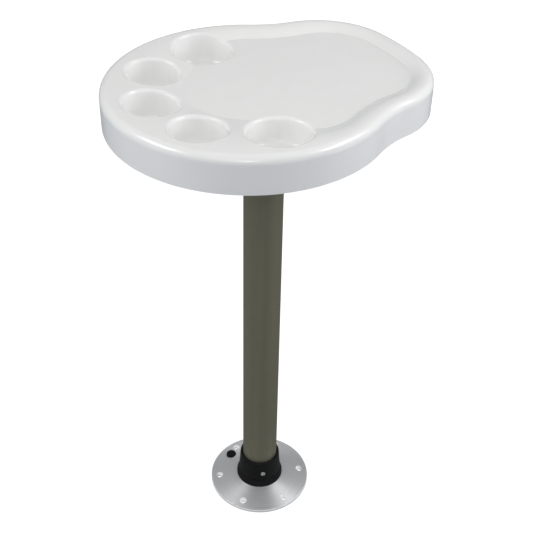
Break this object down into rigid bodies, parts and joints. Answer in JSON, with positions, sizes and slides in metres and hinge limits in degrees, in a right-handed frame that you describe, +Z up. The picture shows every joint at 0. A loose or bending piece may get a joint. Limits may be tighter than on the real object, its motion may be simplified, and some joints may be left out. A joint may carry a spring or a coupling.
{
  "type": "pedestal table",
  "caption": "Pedestal table for a boat or camper: moulded white top with drink recesses and a sunken tray, on a round aluminium post in a black collar and round floor plate.",
  "frame": {"origin": "on the floor, on the axis of the post, at the middle of the floor-screw circle", "axes": "+Z up along the post, +X along the top's line of symmetry towards the tray end"},
  "size_m": [0.4628, 0.4, 0.8095],
  "materials": {
    "white_moulding": "glossy white moulding",
    "cast_aluminium": "as cast, satin",
    "post_aluminium": "satin drawn tube, grey with a warm cast",
    "turned_aluminium": "fine turned rings",
    "black_plastic": "satin black",
    "button_plastic": "semi-gloss black",
    "steel": "bright stainless steel",
    "brass": "plain brass",
    "pale_nylon": "natural nylon"
  },
  "bodies": {
    "base": {"base_plate": "turned_aluminium", "collar": "black_plastic", "collar_screws": "steel", "lock_screw": "steel", "lock_screw_insert": "brass", "thrust_washer": "pale_nylon", "latch_spring": "steel", "latch_strap": "steel", "strap_screws": "steel"},
    "post": {"post_tube": "post_aluminium", "post_top_cap": "black_plastic", "post_foot": "black_plastic", "foot_rivets": "cast_aluminium"},
    "top": {"table_top": "white_moulding", "top_bracket": "cast_aluminium", "bracket_washers": "steel", "bracket_screws": "steel", "socket_bush": "pale_nylon"},
    "button": {"release_button": "button_plastic"},
    "latch": {"latch_slide": "steel"}
  },
  "joints": [
    {"name": "post_turn", "type": "hinge", "parent": "base", "child": "post", "pos_m": [0, 0, 0.04], "axis": [0, 0, 1], "continuous": true},
    {"name": "top_lift", "type": "slide", "parent": "post", "child": "top", "axis": [0, 0, 1], "range_m": [0, 0.06]},
    {"name": "button_press", "type": "slide", "parent": "base", "child": "button", "axis": [0, 0, -1], "range_m": [0, 0.0032], "stiffness_N_per_m": 1200, "springref_m": -0.004},
    {"name": "latch_draw", "type": "slide", "parent": "base", "child": "latch", "axis": [-0.3778, 0.9259, 0], "range_m": [0, 0.0032], "deforming": ["latch_spring"]}
  ],
  "couplings": [
    {"joint": "latch_draw", "follows": "button_press", "ratio": 1}
  ]
}
